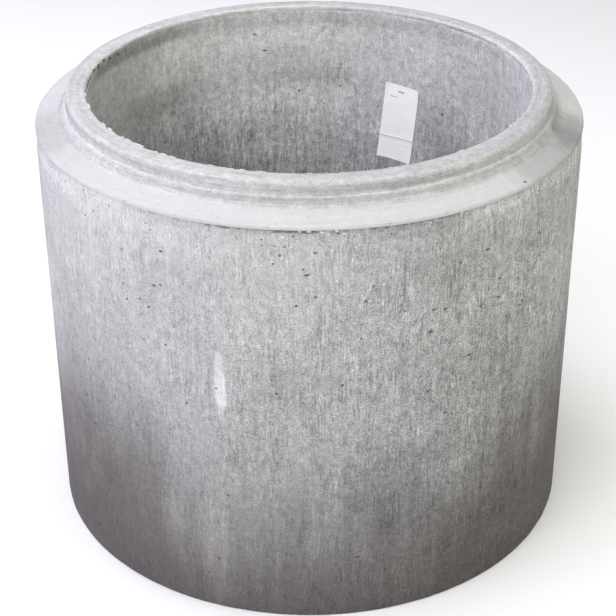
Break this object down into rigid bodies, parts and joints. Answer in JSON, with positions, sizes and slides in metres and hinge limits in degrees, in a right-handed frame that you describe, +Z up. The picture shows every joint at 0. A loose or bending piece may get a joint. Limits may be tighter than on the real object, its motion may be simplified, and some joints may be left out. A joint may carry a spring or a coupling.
{
  "type": "concrete shaft ring",
  "caption": "Round concrete culvert and manhole ring with a smooth bore, a sloping shoulder with a raised spigot on top and a socket in the foot.",
  "frame": {"origin": "middle of the foot, on the axis of the bore", "axes": "+Z up along the bore, from the foot to the spigot; the label faces inward on the +X +Y side"},
  "size_m": [1.2398, 1.2398, 1.04],
  "materials": {
    "concrete": "cast concrete, dry above and damp near the foot",
    "paper": "matt white paper"
  },
  "bodies": {
    "root": {"ring": "concrete", "paper_label": "paper"}
  },
  "joints": []
}
